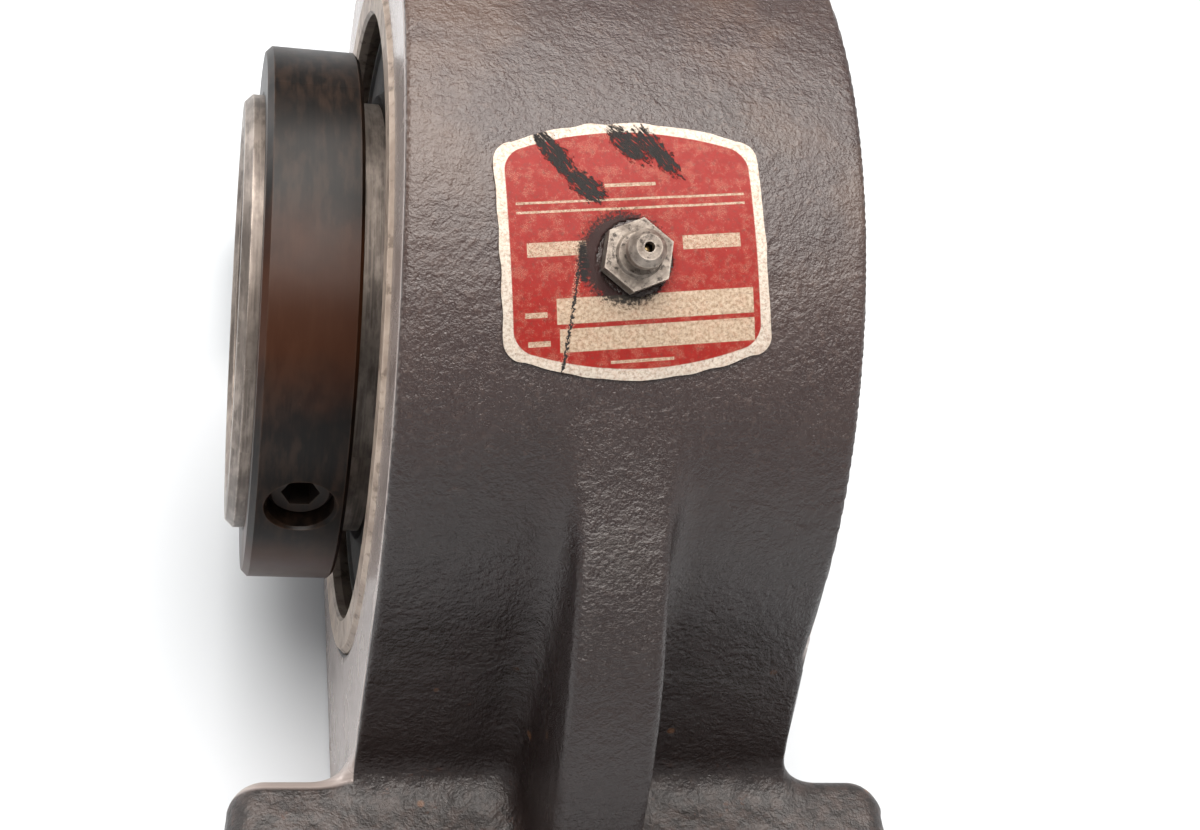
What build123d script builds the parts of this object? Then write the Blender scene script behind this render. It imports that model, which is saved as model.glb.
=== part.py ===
from build123d import *
import os
from math import asin, cos, degrees, pi, radians, sin, sqrt

os.makedirs("parts", exist_ok=True)

# Four-bolt pillow block with a sealed spherical roller bearing, expansion type.
# +X is the shaft axis, +Z is up, the origin is the centre of the shaft bore.

# driving dimensions, mm
H = 82.55                 # shaft centre above the base
BARREL_R = 86.4
BARREL_HALF = 40.5
PED_NEAR_X = 40.5         # machined flush with the barrel on the collar side
PED_FAR_TOP = 40.2        # as cast on the other side, with draft
PED_FAR_FOOT = 47.9
PED_TOP_Y = 86.0
FOOT_NEAR_X = 63.5
FOOT_FAR_X = 66.0
FOOT_IN_Y = 85.0
FOOT_END_Y = 152.4
FOOT_IN_Z = -43.4
FOOT_OUT_Z = -51.0
RIB_HALF = 8.2
BOLT_X = 76.2             # slot to slot along the shaft
BOLT_Y = 241.3            # slot to slot across the shaft
SLOT_R = 9.525
SLOT_LENGTH = 25.4
PAD_Z = -47.6
BORE_R = 70.0
SHAFT_R = 37.306          # 2-15/16 inch shaft with a sliding fit
SLEEVE_R = 44.65
SLEEVE_FRONT = -65.5
SLEEVE_REAR = 44.5
COLLAR_R = 54.6
COLLAR_FRONT = -61.8
COLLAR_REAR = -43.8
SCREW_X = -52.3
SCREW_R = 6.25
SCREW_ANGLES = (-5.0, -125.0)
FIT_ANGLE = 45.0          # lubrication fitting, degrees above the -Y direction
FIT_X = -1.4
HEX_AF = 11.11
HEX_TURN = 23.4
HEX_TOP = 90.0            # distances from the shaft axis
FIT_TOP = 97.0
ROW_COUNT = 14
ROLLER_R = 9.0
ROLLER_HALF = 8.0
ROW_X = 11.5
SPHERE_R = 63.7
GAP = 0.3

roller_dist = SPHERE_R - GAP - ROLLER_R
beta = asin(ROW_X / roller_dist)
ROW_R = roller_dist * cos(beta)
fit_dir = (0, -cos(radians(FIT_ANGLE)), sin(radians(FIT_ANGLE)))


def radial(angle):
    """Unit vector at an angle above the -Y direction, square to the shaft."""
    return (0, -cos(radians(angle)), sin(radians(angle)))


def radial_plane(angle, distance, x=0.0):
    """Plane facing outward at a distance from the shaft axis."""
    d = radial(angle)
    return Plane(origin=(x, d[1] * distance, d[2] * distance), x_dir=(1, 0, 0), z_dir=d)


# ---------------------------------------------------------------- pedestal
# upright body under the barrel, flared where it meets the feet
with BuildPart() as pedestal:
    with BuildSketch(Plane.YZ.offset(-PED_NEAR_X)):
        for side in (-1, 1):
            with BuildLine():
                Polyline((0, -5), (0, -H), (side * 94.0, -H), (side * 94.0, -44.4))
                ThreePointArc((side * 94.0, -44.4), (side * 89.6, -42.6), (side * 87.8, -38.4))
                Polyline((side * 87.8, -38.4), (side * PED_TOP_Y, -5), (0, -5))
            make_face()
    extrude(amount=PED_NEAR_X + PED_FAR_FOOT)
    with BuildSketch(Plane.XZ.offset(-120)):
        with BuildLine():
            Polyline(
                (PED_FAR_TOP, 6),
                (PED_FAR_FOOT + 5, 6),
                (PED_FAR_FOOT + 5, -H - 1),
                (PED_FAR_FOOT, -H - 1),
                close=True,
            )
        make_face()
    extrude(amount=240, mode=Mode.SUBTRACT)

# ---------------------------------------------------------------- housing
with BuildPart() as housing:
    for side in (-1, 1):
        with BuildSketch(Plane.YZ.offset(-FOOT_NEAR_X)):
            with BuildLine():
                Polyline(
                    (side * FOOT_IN_Y, -H),
                    (side * FOOT_END_Y, -H),
                    (side * FOOT_END_Y, FOOT_OUT_Z),
                    (side * FOOT_IN_Y, FOOT_IN_Z),
                    close=True,
                )
            make_face()
        extrude(amount=FOOT_NEAR_X + FOOT_FAR_X)
    upright = housing.edges().filter_by(Axis.Z)
    outer_corners = upright.filter_by(lambda e: abs(e.center().Y) > 140)
    fillet(outer_corners, 20)
    upright = housing.edges().filter_by(Axis.Z)
    inner_corners = upright.filter_by(lambda e: abs(e.center().Y) < 90)
    fillet(inner_corners, 7)
    tops = housing.faces().filter_by(lambda f: f.normal_at().Z > 0.5)
    fillet(tops.edges(), 5)

    add(pedestal.part)

    # barrel round the bearing
    with BuildSketch(Plane.YZ.offset(-BARREL_HALF)):
        Circle(BARREL_R)
    extrude(amount=2 * BARREL_HALF)

    # end ribs from the feet up to the barrel
    for side in (-1, 1):
        with BuildSketch(Plane.YZ.offset(-RIB_HALF)):
            with BuildLine():
                ThreePointArc((side * 81.5, 30.0), (side * 104.5, 3.5), (side * 116.5, -47.0))
                Polyline(
                    (side * 116.5, -47.0),
                    (side * 116.5, -60),
                    (side * 72, -60),
                    (side * 72, 30.0),
                    (side * 81.5, 30.0),
                )
            make_face()
        extrude(amount=2 * RIB_HALF)

    # bolt pads: flat seats round each slot
    for sx in (-1, 1):
        for sy in (-1, 1):
            with BuildSketch(Plane.XY.offset(PAD_Z - 4)):
                with Locations((sx * BOLT_X / 2, sy * BOLT_Y / 2)):
                    SlotOverall(SLOT_LENGTH + 20, 2 * SLOT_R + 20, rotation=90)
            extrude(amount=4)
            with BuildSketch(Plane.XY.offset(PAD_Z)):
                with Locations((sx * BOLT_X / 2, sy * BOLT_Y / 2)):
                    SlotOverall(SLOT_LENGTH + 20, 2 * SLOT_R + 20, rotation=90)
            extrude(amount=8, mode=Mode.SUBTRACT)
            with BuildSketch(Plane.XY.offset(-H)):
                with Locations((sx * BOLT_X / 2, sy * BOLT_Y / 2)):
                    SlotOverall(SLOT_LENGTH, 2 * SLOT_R, rotation=90)
            extrude(amount=60, mode=Mode.SUBTRACT)

    # machined base, base relief, bearing bore and lubrication hole
    with BuildSketch(Plane.XY.offset(-H)):
        Rectangle(200, 400)
    extrude(amount=-10, mode=Mode.SUBTRACT)
    with BuildSketch(Plane.XY.offset(-H)):
        RectangleRounded(60, 150, 8)
    extrude(amount=3, mode=Mode.SUBTRACT)
    with BuildSketch(Plane.YZ.offset(-60)):
        Circle(BORE_R)
    extrude(amount=120, mode=Mode.SUBTRACT)
    with BuildSketch(radial_plane(FIT_ANGLE, 60, FIT_X)):
        Circle(2.5)
    extrude(amount=40, mode=Mode.SUBTRACT)
    with BuildSketch(radial_plane(FIT_ANGLE, 77, FIT_X)):
        Circle(4.9)
    extrude(amount=20, mode=Mode.SUBTRACT)
    rims = housing.edges().filter_by(GeomType.CIRCLE).filter_by(
        lambda e: (abs(abs(e.arc_center.X) - BARREL_HALF) < 0.01 and abs(e.radius - BORE_R) < 0.01)
        or (abs(e.arc_center.X - BARREL_HALF) < 0.01 and abs(e.radius - BARREL_R) < 0.01)
    )
    chamfer(rims, 0.8)

# ---------------------------------------------------------------- nameplate
PLATE_T = 0.3
PLATE_TURN = 4.9
PLATE_X = -1.2
PLATE_UP = 1.8            # plate centre above the fitting, along the barrel
with BuildPart() as nameplate:
    with BuildSketch(Plane.YZ.offset(-40)):
        Circle(BARREL_R + PLATE_T)
        Circle(BARREL_R, mode=Mode.SUBTRACT)
    extrude(amount=80)
    with BuildSketch(radial_plane(FIT_ANGLE, 60, PLATE_X).rotated((0, 0, PLATE_TURN))) as outline:
        with BuildLine():
            ThreePointArc((-23.2, PLATE_UP + 17.6), (0, PLATE_UP + 22.2), (23.2, PLATE_UP + 17.6))
            Line((23.2, PLATE_UP + 17.6), (23.2, PLATE_UP - 17.6))
            ThreePointArc((23.2, PLATE_UP - 17.6), (0, PLATE_UP - 22.2), (-23.2, PLATE_UP - 17.6))
            Line((-23.2, PLATE_UP - 17.6), (-23.2, PLATE_UP + 17.6))
        make_face()
        fillet(outline.vertices(), 3.5)
    extrude(amount=40, mode=Mode.INTERSECT)
    with BuildSketch(radial_plane(FIT_ANGLE, 60, FIT_X)):
        Circle(7.2)
    extrude(amount=40, mode=Mode.SUBTRACT)

# ---------------------------------------------------------------- lubrication fitting
with BuildPart() as grease_fitting:
    with BuildSketch(radial_plane(FIT_ANGLE, 77.2, FIT_X)):
        Circle(4.85)
    extrude(amount=9.7)
    with BuildSketch(radial_plane(FIT_ANGLE, 86.8, FIT_X)):
        RegularPolygon(HEX_AF / 2, 6, major_radius=False, rotation=HEX_TURN)
    extrude(amount=HEX_TOP - 86.8)
    with BuildSketch(radial_plane(FIT_ANGLE, HEX_TOP, FIT_X)):
        Circle(4.1)
    extrude(amount=0.9, taper=25)
    with BuildSketch(radial_plane(FIT_ANGLE, HEX_TOP + 0.5, FIT_X)):
        Circle(2.6)
    extrude(amount=4.5)
    with BuildSketch(radial_plane(FIT_ANGLE, FIT_TOP - 2.9, FIT_X)):
        Circle(3.3)
    extrude(amount=1.5)
    with BuildSketch(radial_plane(FIT_ANGLE, FIT_TOP - 1.4, FIT_X)):
        Circle(3.3)
    extrude(amount=1.4, taper=38)
    with BuildSketch(radial_plane(FIT_ANGLE, 70, FIT_X)):
        Circle(1.6)
    extrude(amount=FIT_TOP - 1.8 - 70, mode=Mode.SUBTRACT)
    with BuildSketch(radial_plane(FIT_ANGLE, FIT_TOP - 3, FIT_X)):
        Circle(0.9)
    extrude(amount=8, mode=Mode.SUBTRACT)

with BuildPart() as fitting_ball:
    with Locations(radial_plane(FIT_ANGLE, FIT_TOP - 3.2, FIT_X)):
        Sphere(1.3)

with BuildPart() as fitting_spring:
    seat = radial_plane(FIT_ANGLE, FIT_TOP - 13.4, FIT_X)
    with BuildLine() as coil:
        Helix(pitch=1.7, height=8.4, radius=1.1, center=seat.origin, direction=seat.z_dir)
    wire = coil.edges()[0]
    with BuildSketch(Plane(origin=wire @ 0, z_dir=wire % 0)):
        Circle(0.22)
    sweep(path=wire, is_frenet=True)

# ---------------------------------------------------------------- closure rings
CLOSE_IN = 36.2
CLOSE_OUT = 41.2
closure = {}
for name, side in (("front_closure_ring", -1), ("rear_closure_ring", 1)):
    with BuildPart() as ring:
        with BuildSketch(Plane.XZ):
            with BuildLine():
                Polyline(
                    (side * CLOSE_IN, 63.6),
                    (side * CLOSE_IN, BORE_R - 0.02),
                    (side * (CLOSE_OUT - 1.0), BORE_R - 0.02),
                    (side * CLOSE_OUT, BORE_R - 1.0),
                    (side * CLOSE_OUT, 63.4),
                    (side * (CLOSE_OUT - 0.6), 62.8),
                    (side * (CLOSE_OUT - 2.4), 62.8),
                    close=True,
                )
            make_face()
        revolve(axis=Axis.X)
    closure[name] = ring

# ---------------------------------------------------------------- outer ring
OUTER_HALF = 21.0
OUTER_R = BORE_R - 0.05
with BuildPart() as outer_ring:
    with BuildSketch(Plane.XZ):
        with BuildLine():
            land = sqrt(SPHERE_R**2 - OUTER_HALF**2)
            ThreePointArc((-OUTER_HALF, land), (0, SPHERE_R), (OUTER_HALF, land))
            Polyline(
                (OUTER_HALF, land),
                (OUTER_HALF, OUTER_R - 1.2),
                (OUTER_HALF - 1.2, OUTER_R),
                (3, OUTER_R),
                (2, OUTER_R - 1.5),
                (-2, OUTER_R - 1.5),
                (-3, OUTER_R),
                (-OUTER_HALF + 1.2, OUTER_R),
                (-OUTER_HALF, OUTER_R - 1.2),
                (-OUTER_HALF, land),
            )
        make_face()
    revolve(axis=Axis.X)
    for k in range(3):
        with BuildSketch(radial_plane(FIT_ANGLE + 120 * k, 55)):
            Circle(2.0)
        extrude(amount=20, mode=Mode.SUBTRACT)

# ---------------------------------------------------------------- seal carriers
carriers = {}
for name, side in (("front_seal_carrier", -1), ("rear_seal_carrier", 1)):
    with BuildPart() as carrier:
        with BuildSketch(Plane.XZ):
            with BuildLine():
                Polyline(
                    (side * OUTER_HALF, 66.0),
                    (side * OUTER_HALF, OUTER_R - 1.4),
                    (side * 22.5, OUTER_R - 0.2),
                    (side * 33.0, OUTER_R - 0.2),
                    (side * 33.7, OUTER_R - 1.0),
                    (side * 33.7, 58.0),
                    (side * 32.2, 58.0),
                    (side * 32.2, 62.5),
                    (side * 31.0, 63.5),
                    (side * 24.0, 63.5),
                    close=True,
                )
            make_face()
        revolve(axis=Axis.X)
    carriers[name] = carrier

# ---------------------------------------------------------------- rubber seals
seals = {}
for name, side in (("front_seal", -1), ("rear_seal", 1)):
    with BuildPart() as seal:
        with BuildSketch(Plane.XZ):
            with BuildLine():
                Polyline(
                    (side * 25.6, 49.0),
                    (side * 25.6, 61.0),
                    (side * 26.6, 62.0),
                    (side * 28.8, 61.8),
                    (side * 29.8, 60.6),
                    (side * 29.8, 50.5),
                    (side * 28.6, SLEEVE_R + GAP),
                    (side * 27.4, SLEEVE_R + GAP),
                    (side * 26.8, 47.0),
                    close=True,
                )
            make_face()
        revolve(axis=Axis.X)
    seals[name] = seal

# ---------------------------------------------------------------- flingers
flingers = {}
for name, side in (("front_flinger", -1), ("rear_flinger", 1)):
    with BuildPart() as flinger:
        with BuildSketch(Plane.XZ):
            with BuildLine():
                Polyline(
                    (side * 35.1, SLEEVE_R + 0.02),
                    (side * 35.1, 60.0),
                    (side * 35.6, 60.8),
                    (side * 37.2, 60.8),
                    (side * 37.2, 59.8),
                    (side * 36.5, 59.4),
                    (side * 36.5, 48.0),
                    (side * 38.6, 46.5),
                    (side * 38.6, SLEEVE_R + 0.02),
                    close=True,
                )
            make_face()
        revolve(axis=Axis.X)
    flingers[name] = flinger

# ---------------------------------------------------------------- inner ring
ca = cos(beta)
sa = sin(beta)
RACE_HALF = 8.4
race_sag = RACE_HALF**2 / (2 * 64.0)
bottom_x = ROW_X - (ROLLER_R + GAP) * sa
bottom_r = ROW_R - (ROLLER_R + GAP) * ca
in_x = bottom_x - RACE_HALF * ca + race_sag * sa
in_r = bottom_r + RACE_HALF * sa + race_sag * ca
out_x = bottom_x + RACE_HALF * ca + race_sag * sa
out_r = bottom_r - RACE_HALF * sa + race_sag * ca
with BuildPart() as inner_ring:
    with BuildSketch(Plane.XZ):
        with BuildLine():
            Polyline((-out_x, out_r), (-23.5, out_r), (-24.3, SLEEVE_R), (SLEEVE_FRONT + 1.6, SLEEVE_R))
            Polyline((SLEEVE_FRONT + 1.6, SLEEVE_R), (SLEEVE_FRONT, SLEEVE_R - 1.6))
            Polyline((SLEEVE_FRONT, SLEEVE_R - 1.6), (SLEEVE_FRONT, SHAFT_R + 1.0))
            Polyline((SLEEVE_FRONT, SHAFT_R + 1.0), (SLEEVE_FRONT + 1.0, SHAFT_R))
            Polyline((SLEEVE_FRONT + 1.0, SHAFT_R), (SLEEVE_REAR - 1.0, SHAFT_R))
            Polyline((SLEEVE_REAR - 1.0, SHAFT_R), (SLEEVE_REAR, SHAFT_R + 1.0))
            Polyline((SLEEVE_REAR, SHAFT_R + 1.0), (SLEEVE_REAR, SLEEVE_R - 1.0))
            Polyline((SLEEVE_REAR, SLEEVE_R - 1.0), (SLEEVE_REAR - 1.0, SLEEVE_R))
            Polyline((SLEEVE_REAR - 1.0, SLEEVE_R), (24.3, SLEEVE_R), (23.5, out_r), (out_x, out_r))
            ThreePointArc((out_x, out_r), (bottom_x, bottom_r), (in_x, in_r))
            Line((in_x, in_r), (-in_x, in_r))
            ThreePointArc((-in_x, in_r), (-bottom_x, bottom_r), (-out_x, out_r))
        make_face()
    revolve(axis=Axis.X)
    for angle in SCREW_ANGLES:
        with BuildSketch(radial_plane(angle, 30, SCREW_X)):
            Circle(6.9)
        extrude(amount=25, mode=Mode.SUBTRACT)

# ---------------------------------------------------------------- locking collar and set screws
with BuildPart() as locking_collar:
    with BuildSketch(Plane.XZ):
        with BuildLine():
            Polyline(
                (COLLAR_FRONT + 0.8, SLEEVE_R + 0.03),
                (COLLAR_REAR - 0.6, SLEEVE_R + 0.03),
                (COLLAR_REAR, SLEEVE_R + 0.6),
                (COLLAR_REAR, COLLAR_R - 0.7),
                (COLLAR_REAR - 0.7, COLLAR_R),
                (COLLAR_FRONT + 1.2, COLLAR_R),
                (COLLAR_FRONT, COLLAR_R - 1.2),
                (COLLAR_FRONT, SLEEVE_R + 0.8),
                close=True,
            )
        make_face()
    revolve(axis=Axis.X)
    for angle in SCREW_ANGLES:
        with BuildSketch(radial_plane(angle, 40, SCREW_X)):
            Circle(SCREW_R + 0.08)
        extrude(amount=20, mode=Mode.SUBTRACT)
        with BuildSketch(radial_plane(angle, 55.0, SCREW_X)):
            Circle(SCREW_R + 0.9)
        extrude(amount=-1.6, taper=30, mode=Mode.SUBTRACT)

screws = []
for k, angle in enumerate(SCREW_ANGLES):
    with BuildPart() as screw:
        with BuildSketch(radial_plane(angle, 40.0, SCREW_X)):
            Circle(SCREW_R)
        extrude(amount=10.6)
        chamfer(screw.edges().filter_by(GeomType.CIRCLE), 0.8)
        with BuildSketch(radial_plane(angle, 38.0, SCREW_X)):
            Circle(4.2)
        extrude(amount=2.4)
        with BuildSketch(radial_plane(angle, 50.6, SCREW_X)):
            RegularPolygon(3.175, 6, major_radius=False)
        extrude(amount=-5.5, mode=Mode.SUBTRACT)
    screw.part.label = f"set_screw_{k + 1}"
    screws.append(screw)

# ---------------------------------------------------------------- cage and guide ring
CAGE_IN = 51.2
CAGE_OUT = 57.6
CAGE_HALF = 23.0
with BuildPart() as cage:
    with BuildSketch(Plane.XZ):
        with BuildLine():
            Polyline(
                (-CAGE_HALF, 49.0),
                (-CAGE_HALF, 55.5),
                (-20, 57.0),
                (-6, CAGE_OUT),
                (6, CAGE_OUT),
                (20, 57.0),
                (CAGE_HALF, 55.5),
                (CAGE_HALF, 49.0),
                (20.8, 49.0),
                (18.0, CAGE_IN),
                (-18.0, CAGE_IN),
                (-20.8, 49.0),
                close=True,
            )
        make_face()
    revolve(axis=Axis.X)
    for side in (-1, 1):
        for k in range(ROW_COUNT):
            phi = 360.0 * (k + (0.25 if side > 0 else -0.25)) / ROW_COUNT
            d = radial(phi)
            axis = (ca, -side * sa * d[1], -side * sa * d[2])
            centre = (side * ROW_X, ROW_R * d[1], ROW_R * d[2])
            seat = Plane(origin=centre, z_dir=axis)
            with BuildSketch(seat.offset(-ROLLER_HALF - GAP)):
                Circle(ROLLER_R + GAP)
            extrude(amount=2 * ROLLER_HALF + 2 * GAP, mode=Mode.SUBTRACT)

with BuildPart() as guide_ring:
    with BuildSketch(Plane.XZ):
        with BuildLine():
            Polyline(
                (-1.5, in_r + GAP),
                (1.5, in_r + GAP),
                (2.4, CAGE_IN - 0.02),
                (-2.4, CAGE_IN - 0.02),
                close=True,
            )
        make_face()
    revolve(axis=Axis.X)

# ---------------------------------------------------------------- barrel rollers
END_R = ROLLER_R - ROLLER_HALF**2 / (2 * 61.0)
rollers = []
for side in (-1, 1):
    for k in range(ROW_COUNT):
        phi = 360.0 * (k + (0.25 if side > 0 else -0.25)) / ROW_COUNT
        d = radial(phi)
        axis = (ca, -side * sa * d[1], -side * sa * d[2])
        centre = (side * ROW_X, ROW_R * d[1], ROW_R * d[2])
        seat = Plane(origin=centre, x_dir=axis, z_dir=(0, -d[2], d[1]))
        with BuildPart() as roller:
            with BuildSketch(seat):
                with BuildLine():
                    ThreePointArc((-ROLLER_HALF + 0.5, END_R + 0.03), (0, ROLLER_R), (ROLLER_HALF - 0.5, END_R + 0.03))
                    Polyline((ROLLER_HALF - 0.5, END_R + 0.03), (ROLLER_HALF, END_R - 0.5))
                    Polyline((ROLLER_HALF, END_R - 0.5), (ROLLER_HALF, 0))
                    Line((ROLLER_HALF, 0), (-ROLLER_HALF, 0))
                    Polyline((-ROLLER_HALF, 0), (-ROLLER_HALF, END_R - 0.5))
                    Polyline((-ROLLER_HALF, END_R - 0.5), (-ROLLER_HALF + 0.5, END_R + 0.03))
                make_face()
            revolve(axis=Axis(centre, axis))
        row = "front" if side < 0 else "rear"
        roller.part.label = f"roller_{row}_{k + 1:02d}"
        rollers.append(roller)

# ---------------------------------------------------------------- export
housing.part.label = "housing"
export_step(housing.part, "parts/housing.step")
nameplate.part.label = "nameplate"
export_step(nameplate.part, "parts/nameplate.step")
grease_fitting.part.label = "grease_fitting"
export_step(grease_fitting.part, "parts/grease_fitting.step")
fitting_ball.part.label = "fitting_ball"
export_step(fitting_ball.part, "parts/fitting_ball.step")
fitting_spring.part.label = "fitting_spring"
export_step(fitting_spring.part, "parts/fitting_spring.step")
outer_ring.part.label = "outer_ring"
export_step(outer_ring.part, "parts/outer_ring.step")
inner_ring.part.label = "inner_ring"
export_step(inner_ring.part, "parts/inner_ring.step")
locking_collar.part.label = "locking_collar"
export_step(locking_collar.part, "parts/locking_collar.step")
cage.part.label = "cage"
export_step(cage.part, "parts/cage.step")
guide_ring.part.label = "guide_ring"
export_step(guide_ring.part, "parts/guide_ring.step")
for group in (closure, carriers, seals, flingers):
    for name, piece in group.items():
        piece.part.label = name
        export_step(piece.part, f"parts/{name}.step")
for piece in screws + rollers:
    export_step(piece.part, f"parts/{piece.part.label}.step")
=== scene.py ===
import math

import bpy
import numpy as np
from mathutils import Matrix, Vector


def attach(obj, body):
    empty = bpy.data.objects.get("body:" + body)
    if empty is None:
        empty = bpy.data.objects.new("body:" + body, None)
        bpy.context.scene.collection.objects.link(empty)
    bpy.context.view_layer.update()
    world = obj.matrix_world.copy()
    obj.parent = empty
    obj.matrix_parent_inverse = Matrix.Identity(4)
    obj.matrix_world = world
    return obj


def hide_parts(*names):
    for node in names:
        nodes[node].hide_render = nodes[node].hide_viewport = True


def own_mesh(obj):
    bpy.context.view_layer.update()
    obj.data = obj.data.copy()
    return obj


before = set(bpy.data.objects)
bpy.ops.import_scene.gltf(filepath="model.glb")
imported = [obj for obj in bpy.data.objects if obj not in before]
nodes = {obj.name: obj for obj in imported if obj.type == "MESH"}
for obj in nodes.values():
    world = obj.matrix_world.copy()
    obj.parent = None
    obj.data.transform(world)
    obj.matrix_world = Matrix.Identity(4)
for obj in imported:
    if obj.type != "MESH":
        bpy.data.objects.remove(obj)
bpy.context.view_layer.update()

MM = 0.001
# main sizes of the CAD model, mm
H = 82.55
BARREL_R = 86.4
BARREL_HALF = 40.5
PED_NEAR_X = 40.5
PED_FAR_X = 40.2
PED_TOP = (86.0, -5.0)       # side of the upright body, (y, z)
PED_FOOT = (88.6, -H)
PED_TOP_Z = 3.0
PED_DRAFT = 0.086            # slope of the far side
PED_DRAFT_FROM = 6.0
FOOT_NEAR_X = 63.5
FOOT_FAR_X = 66.0
FOOT_IN_Y = 85.0
FOOT_END_Y = 152.4
FOOT_IN_Z = -43.4
FOOT_OUT_Z = -51.0
FOOT_OUT_CORNER = 20.0
FOOT_IN_CORNER = 7.0
RIB_HALF = 8.2
RIB_IN_Y = 62.0
BORE_R = 70.0
BOLT_X = 38.1
BOLT_Y = 120.65
SLOT_R = 9.525
SLOT_HALF = 3.175            # half the straight part of a slot
PAD_R = 19.525
SEAT_R = 18.3
PAD_Z = -47.6
RELIEF_X = 30.0
RELIEF_Y = 75.0
RELIEF_DEPTH = 3.0
RIM_CHAMFER = 0.8
FIT_ANGLE = math.radians(45.0)
FIT_X = -1.4
LUBE_R, LUBE_FROM = 2.5, 60.0
THREAD_R, THREAD_FROM = 4.9, 77.0


# ------------------------------------------------------------------ helpers
def hash3(i, j, k, seed):
    """Repeatable value in 0..1 for each lattice point."""
    n = (i * 374761393 + j * 668265263 + k * 2147483647 + seed * 974711) & 0xFFFFFFFF
    n = ((n ^ (n >> 13)) * 1274126177) & 0xFFFFFFFF
    return ((n ^ (n >> 16)) & 0xFFFF) / 65535.0


def noise3(p, scale, seed=0):
    """Smooth value noise in -1..1 at points p (mm)."""
    q = p / scale + 512.0
    i = np.floor(q).astype(np.int64)
    f = q - i
    f = f * f * (3 - 2 * f)
    out = np.zeros(len(p))
    for dx in (0, 1):
        for dy in (0, 1):
            for dz in (0, 1):
                w = (f[:, 0] if dx else 1 - f[:, 0])
                w = w * (f[:, 1] if dy else 1 - f[:, 1])
                w = w * (f[:, 2] if dz else 1 - f[:, 2])
                out += w * hash3(i[:, 0] + dx, i[:, 1] + dy, i[:, 2] + dz, seed)
    return out * 2 - 1


def link(name, mesh):
    ob = bpy.data.objects.new(name, mesh)
    bpy.context.scene.collection.objects.link(ob)
    return ob


def mesh_from(name, verts, faces, uv=None, smooth=True):
    me = bpy.data.meshes.new(name)
    me.from_pydata([tuple(v) for v in verts], [], [tuple(f) for f in faces])
    me.validate()
    if uv is not None:
        layer = me.uv_layers.new(name="UVMap")
        idx = np.zeros(len(me.loops), np.int32)
        me.loops.foreach_get("vertex_index", idx)
        layer.data.foreach_set("uv", np.asarray(uv, np.float32)[idx].ravel())
    if smooth:
        me.polygons.foreach_set("use_smooth", [True] * len(me.polygons))
    me.update()
    return me


def set_material(ob, mat):
    if ob.material_slots:
        for s in ob.material_slots:
            s.material = mat
    else:
        ob.data.materials.append(mat)


def smooth_by_angle(ob, degrees=32):
    ob.data.polygons.foreach_set("use_smooth", [True] * len(ob.data.polygons))
    ob.data.set_sharp_from_angle(angle=math.radians(degrees))


# ------------------------------------------------------------------ housing casting
def rint(a, b, r):
    """Intersection of two distance fields with an edge rounding r."""
    u = np.maximum(a + r, 0)
    v = np.maximum(b + r, 0)
    return np.minimum(np.maximum(a + r, b + r), 0) + np.hypot(u, v) - r


def smin(a, b, k):
    """Union of two distance fields with a fillet of size k."""
    h = np.maximum(k - np.abs(a - b), 0) / k
    return np.minimum(a, b) - h * h * k * 0.25


def plane2(u, v, p, q):
    """Signed distance from the line p to q, positive on its left, in the (u, v) plane."""
    dx, dy = q[0] - p[0], q[1] - p[1]
    n = math.hypot(dx, dy)
    return (-(u - p[0]) * dy + (v - p[1]) * dx) / n


def circle_through(a, b, c):
    ax, ay, bx, by, cx, cy = *a, *b, *c
    d = 2 * (ax * (by - cy) + bx * (cy - ay) + cx * (ay - by))
    ux = ((ax**2 + ay**2) * (by - cy) + (bx**2 + by**2) * (cy - ay) + (cx**2 + cy**2) * (ay - by)) / d
    uy = ((ax**2 + ay**2) * (cx - bx) + (bx**2 + by**2) * (ax - cx) + (cx**2 + cy**2) * (bx - ax)) / d
    return ux, uy, math.hypot(ax - ux, ay - uy)


RIB_ARC = circle_through((81.5, 30.0), (104.5, 3.5), (116.5, -47.0))


def capsule(p, r):
    """Distance outside an upright slot column at each bolt place."""
    qy = np.maximum(np.abs(np.abs(p[:, 1]) - BOLT_Y) - SLOT_HALF, 0)
    return np.hypot(np.abs(p[:, 0]) - BOLT_X, qy) - r


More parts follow.
